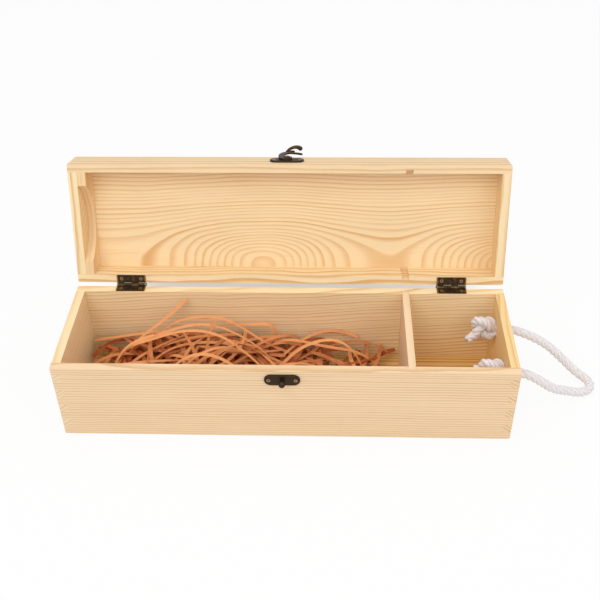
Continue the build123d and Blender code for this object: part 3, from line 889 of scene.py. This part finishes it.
@dataclass
class StrandedRope:
    """Three strands laid round a line; sizes in millimetres."""

    diameter: float = 7.4
    lay: float = 15.5
    sides: int = 12
    packed: float = 1.2  # how much thicker the strands are than three that just touch
    tip_share: float = 0.06  # the part of a line over which a cut end is drawn together
    tip_close: float = 0.86  # how far it is drawn together
    start_turn: float = 0.4  # angle of the first strand where the handle starts
    knot_turn: float = 1.1  # and where a knot starts

    @property
    def strand_radius(self) -> float:
        """Returns the radius of one strand, so that three fill the rope."""
        return self.diameter / 2 / (1 + 2 / math.sqrt(3)) * self.packed

    def _frames(self, line: list[Vector]) -> list[tuple[Vector, Vector, Vector]]:
        """Carries a pair of side directions along a line without twist.

        Args:
            line: The points.

        Returns:
            Direction, first side and second side at each point.
        """
        frames = []
        side = Vector((0, 0, 1))
        for number in range(len(line)):
            before, after = line[max(0, number - 1)], line[min(len(line) - 1, number + 1)]
            way = (after - before).normalized()
            side = (side - way * side.dot(way)).normalized()
            frames.append((way, side, way.cross(side)))
        return frames

    def build(
        self, line: list[Vector], name: str, start_turn: float, tip: bool
    ) -> bpy.types.Object:
        """Makes the strands as one mesh.

        Args:
            line: The rope's middle line, in metres.
            name: The piece's name.
            start_turn: The angle of the first strand at the start.
            tip: Whether the far end is a cut end, whose strands are drawn together.

        Returns:
            The piece.
        """
        frames = self._frames(line)
        bm = bmesh.new()
        chart = bm.loops.layers.uv.new("strand")
        along_of: dict[bmesh.types.BMVert, tuple[float, float]] = {}
        for strand in range(3):
            self._one_strand(bm, line, frames, start_turn + math.tau * strand / 3, tip, along_of)
        self._sort(bm, {vert: number for number, vert in enumerate(along_of)})
        bmesh.ops.recalc_face_normals(bm, faces=bm.faces[:])
        for face in bm.faces:
            face.smooth = True
            rounds = [along_of[loop.vert][1] for loop in face.loops]
            for loop in face.loops:
                along, around = along_of[loop.vert]
                if around < 0.25 and max(rounds) > 0.75:
                    around += 1.0
                loop[chart].uv = (along, around)
        return piece_from(bm, name)

    def _one_strand(
        self,
        bm: bmesh.types.BMesh,
        line: list[Vector],
        frames: list[tuple[Vector, Vector, Vector]],
        turn: float,
        tip: bool,
        along_of: dict[bmesh.types.BMVert, tuple[float, float]],
    ) -> None:
        """Adds one strand by drawing a ring along its helix.

        Args:
            bm: The mesh.
            line: The rope's middle line.
            frames: The frames of that line.
            turn: The strand's angle at the start.
            tip: Whether the far end is drawn together.
            along_of: Takes each vertex's place along and round the strand.
        """
        radius = self.strand_radius * MM
        out = (self.diameter / 2 - self.strand_radius) * MM
        circle = bmesh.ops.create_circle(bm, cap_ends=True, radius=radius, segments=self.sides)
        ring = circle["verts"]
        around_ring = dict.fromkeys(edge for vert in ring for edge in vert.link_edges)
        edges = [edge for edge in around_ring if len(edge.link_faces) == 1]
        gone = 0.0
        for number, (place, (way, side, other)) in enumerate(zip(line, frames)):
            if number:
                gone += (place - line[number - 1]).length / MM
            angle = turn + math.tau * gone / self.lay
            left = (len(line) - 1 - number) / max(1, len(line) - 1)
            close = 1.0
            if tip and left < self.tip_share:
                close = self.tip_close + (1 - self.tip_close) * left / self.tip_share
            spoke = side * math.cos(angle) + other * math.sin(angle)
            middle = place + spoke * out * close
            lean = (way + way.cross(spoke) * (math.tau * out / MM / self.lay)).normalized()
            first = (spoke - lean * spoke.dot(lean)).normalized()
            second = lean.cross(first)
            if number:
                made = bmesh.ops.extrude_edge_only(bm, edges=edges)["geom"]
                edges = [item for item in made if isinstance(item, bmesh.types.BMEdge)]
                edges = [edge for edge in edges if len(edge.link_faces) == 1]
                fresh = {vert for edge in edges for vert in edge.verts}
                ring = self._in_order(ring, fresh)
            for slot, vert in enumerate(ring):
                around = math.tau * slot / self.sides
                spread = first * math.cos(around) + second * math.sin(around)
                vert.co = middle + spread * radius * close
                along_of[vert] = (gone, slot / self.sides)
        bmesh.ops.contextual_create(bm, geom=edges)

    def _sort(self, bm: bmesh.types.BMesh, order: dict[bmesh.types.BMVert, int]) -> None:
        """Gives the mesh one order, because drawing a ring of edges leaves it to chance.

        Args:
            bm: The mesh.
            order: The number of each vertex, along the strands in turn.
        """

        def rank(item: bmesh.types.BMEdge | bmesh.types.BMFace) -> float:
            """Returns a number that tells edges or faces apart by their vertices."""
            numbers = [order[vert] for vert in item.verts]
            return min(numbers) + max(numbers) / (2 * len(order))

        bm.verts.sort(key=lambda vert: order[vert])
        bm.edges.sort(key=rank)
        bm.faces.sort(key=rank)

    def _in_order(
        self, ring: list[bmesh.types.BMVert], fresh: set[bmesh.types.BMVert]
    ) -> list[bmesh.types.BMVert]:
        """Returns the new ring's vertices in the order of the ring they were drawn from."""
        beside = ([edge.other_vert(vert) for edge in vert.link_edges] for vert in ring)
        return [next(other for other in others if other in fresh) for others in beside]


@dataclass
class RopeHandle:
    """The rope through the right end, and the two knots that hold it; in millimetres."""

    rope: StrandedRope = field(default_factory=StrandedRope)
    end_face: float = 175.0  # outside of the end board
    knot_face: float = 167.7  # where the knots bear on its inside
    hole_y: float = 25.0
    hole_z: float = 48.9  # height of the rope's middle in its hole
    length: float = 208.4  # from hole to hole
    step: float = 0.8  # distance between the rings of a strand
    knot_wide: float = 6.3  # from the knot's middle to the middle of its loops
    knot_thick: float = 4.1  # how far the loops sway about that
    knot_middle: Point = (-9.2, 0.0, 0.6)  # from the hole
    knot_neck: float = 1.8  # straight part before the knot

    def route(self) -> list[Point]:
        """Returns the control points of the handle's line, from the back hole to the front."""
        out = self.end_face
        return [
            (self.knot_face, self.hole_y, self.hole_z),
            (out + 5.2, self.hole_y, self.hole_z),
            (out + 19.0, 26.2, 42.4),
            (out + 35.0, 25.8, 33.6),
            (out + 50.0, 24.0, 19.6),
            (out + 63.0, 19.6, 7.2),
            (out + 73.4, 12.0, 4.6),
            (out + 72.4, 1.6, 4.4),
            (out + 61.4, -6.8, 8.6),
            (out + 48.6, -12.4, 16.4),
            (out + 34.4, -20.6, 26.4),
            (out + 20.4, -25.4, 40.9),
            (out + 6.2, -self.hole_y, self.hole_z),
            (self.knot_face, -self.hole_y, self.hole_z),
        ]

    def knot(self, y: float, z: float, tail: Point) -> list[Point]:
        """Lays out an overhand knot behind the end board.

        Args:
            y: Place of the hole's middle along Y.
            z: Its height.
            tail: Where the tail ends, from the hole.

        Returns:
            The control points, from the hole to the end of the tail.
        """
        hole = Vector((self.knot_face, y, z))
        middle = hole + Vector(self.knot_middle)
        points: list[Point] = [tuple(hole), (self.knot_face - self.knot_neck, y, z)]
        parts = 16
        for part in range(1, parts):
            turn = math.tau * (0.5 + part / parts)
            reach = self.knot_wide + self.knot_thick * math.cos(3 * turn)
            rise = self.knot_thick * math.sin(3 * turn)
            place = Vector((reach * math.cos(2 * turn), rise, reach * math.sin(2 * turn)))
            points.append(tuple(middle + place))
        end = hole + Vector(tail)
        points.append(tuple(middle.lerp(end, 0.6)))
        points.append(tuple(end))
        return points

    def build(self) -> None:
        cotton = CottonFinish().build()
        route = line_of(self.route(), "handle_route", self.step)
        handle = self.rope.build(route, "rope_strands", self.rope.start_turn, False)
        knots = []
        tails = {"back": (-22.5, -6.5, -6.5), "front": (-22.5, 1.5, 1.0)}
        for side, sign in (("back", 1.0), ("front", -1.0)):
            points = self.knot(sign * self.hole_y, self.hole_z, tails[side])
            line = line_of(points, f"{side}_knot_route", self.step)
            name = f"rope_knot_{side}_strands"
            knots.append(self.rope.build(line, name, self.rope.knot_turn, True))
        nodes = ("rope_handle", "rope_knot_back", "rope_knot_front")
        for piece, node in zip([handle, *knots], nodes):
            stand_in(piece, node, cotton)


@dataclass
class PaperPacking:
    """Shredded paper strips, piled in the long compartment; sizes in millimetres."""

    left: float = -167.2
    right: float = 91.6
    front: float = -42.4
    back: float = 42.4
    floor: float = 3.3
    bed_count: int = 400  # short strips of the bed
    loose_count: int = 34  # longer ones that lie loose on it
    bed_top: float = 34.0  # no strip of the bed reaches higher
    loose_top: float = 48.0  # and no loose one reaches higher than this
    segments: int = 14  # straight parts of one strip
    seed: int = 29

    def long_strips(self) -> list[list[Point]]:
        """Returns the lines of the long strips that lie on top, from left to right."""
        return [
            [(-84, 39, 66), (-94, 34, 57), (-108, 27, 48), (-122, 20, 40), (-132, 14, 30),
             (-135, 8, 16)],
            [(-140, 15, 22), (-132, 15, 37), (-115, 15, 43), (-95, 15, 53), (-74, 15, 60),
             (-56, 15, 58), (-40, 14, 50), (-21, 12, 36), (-8, 9, 20)],
            [(-141, 5, 28), (-130, 5, 44), (-110, 5, 51), (-89, 5, 60), (-69, 5, 62),
             (-52, 4, 57), (-38, 2, 46), (-24, 0, 32), (-14, -3, 20)],
            [(-112, 26, 34), (-100, 26, 48), (-84, 26, 56), (-66, 26, 59), (-51, 26, 56),
             (-38, 26, 47), (-26, 26, 36), (-13, 25, 27), (6, 22, 20)],
            [(-58, 12, 66), (-62, 10, 57), (-65, 8, 43), (-68, 4, 26)],
            [(-16, -6, 18), (-4, -3, 34), (9, -2, 49), (24, -2, 58), (38, -2, 60), (49, -2, 53),
             (58, -4, 40), (64, -8, 22)],
            [(-108, -8, 57), (-110, -8, 48), (-112, -9, 36), (-113, -12, 20)],
            [(-88, -14, 42), (-80, -14, 50), (-65, -14, 55), (-50, -14, 49), (-36, -16, 38),
             (-26, -20, 24)],
            [(-84, 8, 59), (-80, 7, 51), (-76, 5, 42), (-72, 2, 26)],
            [(-62, 0, 34), (-54, 0, 43), (-42, 0, 51), (-36, 0, 55)],
            [(-165, 33, 25), (-154, 32, 28), (-140, 32, 31), (-124, 32, 34), (-102, 31, 38),
             (-92, 29, 34)],
            [(-60, 35, 45), (-46, 35, 43), (-30, 34, 43), (-12, 34, 46), (-10, 34, 26)],
            [(-12, 28, 30), (2, 25, 36), (18, 24, 32), (38, 24, 27), (60, 23, 24), (72, 20, 14)],
            [(-150, -6, 8), (-142, 0, 26), (-134, 4, 40), (-122, 8, 48), (-108, 12, 50)],
            [(-100, -20, 12), (-88, -14, 34), (-72, -8, 46), (-58, 0, 48), (-44, 8, 42),
             (-34, 14, 28)],
            [(-30, -24, 14), (-18, -18, 32), (-2, -10, 40), (14, -4, 36), (26, 4, 24),
             (36, 12, 12)],
        ]

    def _pile(self, x: float) -> float:
        """Returns the height of the pile above the bottom at a place along the box."""
        ends = min(1.0, max(0.0, (x + 172) / 50)) * min(1.0, max(0.0, (92 - x) / 150))
        return 3.0 + 22.0 * ends**0.8

    def _strip(
        self,
        bm: bmesh.types.BMesh,
        chart: bmesh.types.BMLayerItem,
        line: list[Vector],
        width: float,
        roll: float,
        shade: float,
    ) -> None:
        """Adds one strip by drawing an edge along its line.

        Args:
            bm: The mesh.
            chart: Its UV layer.
            line: The strip's middle line, in millimetres.
            width: The strip's width.
            roll: How far it is turned on edge at its ends, in radians.
            shade: How dark the strip is painted, 0 to 1, partly its own tone and partly painted
                shade of its depth in the pile.
        """
        flank: list[tuple[Vector, Vector]] = []
        for number, place in enumerate(line):
            ahead = line[min(len(line) - 1, number + 1)] - line[max(0, number - 1)]
            way = ahead.normalized()
            side = way.cross(Vector((0, 0, 1)))
            if side.length < 0.05:
                side = Vector((1, 0, 0))
            side.normalize()
            up = side.cross(way)
            share = number / (len(line) - 1)
            turn = roll * (2 * share - 1)
            across = side * math.cos(turn) + up * math.sin(turn)
            taper = 1.0 if 0 < number < len(line) - 1 else 0.8
            reach = across * width / 2 * taper
            flank.append((place + reach, place - reach))
        first = [bm.verts.new(corner * MM) for corner in flank[0]]
        edge = bm.edges.new(first)
        faces = []
        for one, two in flank[1:]:
            made = bmesh.ops.extrude_edge_only(bm, edges=[edge])["geom"]
            fresh = [item for item in made if isinstance(item, bmesh.types.BMVert)]
            faces += [item for item in made if isinstance(item, bmesh.types.BMFace)]
            start = edge.verts[0]
            partner = next(
                vert for vert in fresh if any(e.other_vert(vert) is start for e in vert.link_edges)
            )
            other = fresh[0] if fresh[1] is partner else fresh[1]
            ordered = (one, two) if start is first[0] else (two, one)
            partner.co, other.co = ordered[0] * MM, ordered[1] * MM
            drawn = [item for item in made if isinstance(item, bmesh.types.BMEdge)]
            edge = next(item for item in drawn if set(item.verts) == {partner, other})
            first = [partner, other] if start is first[0] else [other, partner]
        for number, face in enumerate(faces):
            face.smooth = True
            for loop in face.loops:
                loop[chart].uv = (number * 4.0, shade)

    def _line(
        self,
        rng: random.Random,
        start: Vector,
        length: float,
        heading: float,
        curl: float,
        arch: float,
    ) -> list[Vector]:
        """Bends one strip.

        Args:
            rng: The source of chance.
            start: Where it starts.
            length: The strip's length.
            heading: Its first direction in plan, in radians.
            curl: How far it turns in plan.
            arch: How steeply it rises first, and comes down last.

        Returns:
            The points of its middle line.
        """
        place = start
        line = [place.copy()]
        lean = rng.uniform(-0.25, 0.25)
        for number in range(self.segments):
            share = (number + 0.5) / self.segments
            plan = heading + curl * share
            rise = arch * (1 - 2 * share) + lean * math.sin(share * 5)
            flat = math.cos(rise)
            way = Vector((math.cos(plan) * flat, math.sin(plan) * flat, math.sin(rise)))
            place = place + way * (length / self.segments)
            line.append(place.copy())
        return line

    def _settle(self, line: list[Vector], width: float, lift: float) -> list[Vector] | None:
        """Moves a strip so that it lies within the compartment.

        Args:
            line: The strip's middle line.
            width: Its width.
            lift: Its lowest height.

        Returns:
            The moved line, or None where it doesn't fit.
        """
        edge = width / 2 + 0.3
        shift = Vector((0, 0, 0))
        room = ((self.left + edge, self.right - edge), (self.front + edge, self.back - edge))
        for axis, (low, high) in enumerate(room):
            least, most = min(p[axis] for p in line), max(p[axis] for p in line)
            if most - least > high - low:
                return None
            shift[axis] = max(0.0, low - least) - max(0.0, most - high)
        shift.z = lift - min(p.z for p in line)
        return [p + shift for p in line]

    def build(self) -> None:
        """Makes the strips and the bed that they lie on."""
        rng = random.Random(self.seed)
        bm = bmesh.new()
        chart = bm.loops.layers.uv.new("strip")
        for points in self.long_strips():
            line = [place / MM for place in line_of(points, "strip_route", 5.0)]
            width, roll = rng.uniform(2.8, 3.8), rng.gauss(0, 0.35)
            self._strip(bm, chart, line, width, roll, 0.05 + 0.25 * rng.random())
        made = 0
        while made < self.bed_count + self.loose_count:
            loose = made >= self.bed_count
            x = rng.triangular(self.left + 4, 82, -70)
            y = rng.uniform(self.front + 3, self.back - 3)
            width = rng.uniform(2.4, 3.8)
            length = rng.uniform(50, 110) if loose else rng.uniform(26, 74)
            heading = rng.choice((0.0, math.pi)) + rng.gauss(0, 0.8)
            curl = rng.gauss(0, 0.9)
            arch = abs(rng.gauss(0.35, 0.35)) if loose else abs(rng.gauss(0, 0.3))
            line = self._line(rng, Vector((x, y, 0.0)), length, heading, curl, arch)
            share = rng.uniform(0.7, 1.05) if loose else rng.random() ** 0.8
            level = self.floor + 1.6 + share * self._pile(x)
            settled = self._settle(line, width, level)
            top = self.loose_top if loose else self.bed_top
            if settled is None or max(p.z for p in settled) > top:
                continue
            # bed strips, and strips that lie low in the pile, are painted darker as shade of the
            # pile's depth; the random part is each strip's own tone
            low = min(1.0, max(0.0, 1.0 - share))
            shade = min(1.0, (0.1 if loose else 0.35) + 0.6 * low + 0.3 * rng.random())
            self._strip(bm, chart, settled, width, rng.gauss(0, 0.5), shade)
            made += 1
        piece = piece_from(bm, "paper_strips")
        stand_in(piece, "packing_strips", PaperFinish().build())


# ---- studio


@dataclass
class Studio:
    """Pale floor, soft lamps, white background and the camera."""

    camera_place: Point = (34.98, -538.97, 537.83)  # in millimetres
    camera_turn: Point = (50.78417, 0.87154, 1.82654)  # in degrees
    lens: float = 54.868
    floor_half: float = 4.0
    floor_white: float = 0.90  # how much of the seen floor is plain white
    floor_behind: float = 0.88  # how much of that is lost in the shade behind the box
    room_light: float = 0.62

    def build(self) -> None:
        """Sets up the whole studio."""
        self._camera()
        self._floor()
        self._lamps()
        self._world()
        bpy.context.scene.view_settings.view_transform = "Standard"

    def _camera(self) -> None:
        """Adds the camera at the viewing angle of the picture."""
        data = bpy.data.cameras.new("camera")
        data.lens = self.lens
        data.sensor_width = 36.0
        data.clip_start, data.clip_end = 0.01, 50.0
        camera = linked("camera", data)
        camera.location = Vector(self.camera_place) * MM
        camera.rotation_euler = Euler([math.radians(angle) for angle in self.camera_turn])
        bpy.context.scene.camera = camera

    def _floor(self) -> None:
        """Adds the floor, white to the eye but keeping some of the shadow."""
        bm = bmesh.new()
        bmesh.ops.create_grid(bm, x_segments=1, y_segments=1, size=self.floor_half)
        floor = piece_from(bm, "studio_floor")
        graph = Graph.named("studio_white")
        seen = graph.seen()
        plain = graph.add("ShaderNodeBsdfDiffuse", None, {"Color": (0.86, 0.86, 0.86)})
        glow = graph.add("ShaderNodeEmission", None, {"Color": (1, 1, 1), "Strength": 1.0})
        both = graph.add("ShaderNodeMixShader")
        ground = graph.split(graph.add("ShaderNodeTexCoord").outputs["Object"])
        hidden = abs(ground[0]).rise(0.19, 0.13) * abs(ground[1] - 0.125).rise(0.09, 0.04)
        graph.feed(both.inputs[0], seen * (self.floor_white - hidden * self.floor_behind))
        graph.feed(both.inputs[1], plain.outputs[0])
        graph.feed(both.inputs[2], glow.outputs[0])
        graph.add("ShaderNodeOutputMaterial", None, {"Surface": both.outputs[0]})
        floor.data.materials.append(graph.owner)

    def _lamps(self) -> None:
        """Adds the soft lamps."""
        lamps = (
            ("key_lamp", (-0.55, -0.95, 1.35), 1.1, 9.5),
            ("fill_lamp", (0.95, -0.75, 1.05), 1.1, 4.5),
            ("top_lamp", (0.0, 0.35, 1.6), 1.3, 4.2),
        )
        for name, place, size, power in lamps:
            data = bpy.data.lights.new(name, "AREA")
            data.shape = "SQUARE"
            data.size = size
            data.energy = power
            lamp = linked(name, data)
            lamp.location = place
            aim = Vector((0.0, 0.0, 0.06)) - Vector(place)
            lamp.rotation_euler = aim.to_track_quat("-Z", "Y").to_euler()

    def _world(self) -> None:
        """Lights the room evenly, and shows it white."""
        world = bpy.data.worlds.new("white_room")
        bpy.context.scene.world = world
        graph = Graph(world)
        levels = {"Value": graph.seen(), "To Min": self.room_light, "To Max": 1.0}
        strength = graph.add("ShaderNodeMapRange", None, levels)
        light = {"Color": (1, 1, 1), "Strength": strength.outputs[0]}
        glow = graph.add("ShaderNodeBackground", None, light)
        graph.add("ShaderNodeOutputWorld", None, {"Surface": glow.outputs[0]})


def main() -> None:
    """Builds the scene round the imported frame."""
    logging.basicConfig(level=logging.INFO, format="%(name)s: %(message)s")
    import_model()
    Studio().build()
    RopeHandle().build()
    PineCase().dress()
    PineLid().dress()
    BronzeFittings().dress()
    PaperPacking().build()


if __name__ == "__main__":
    main()
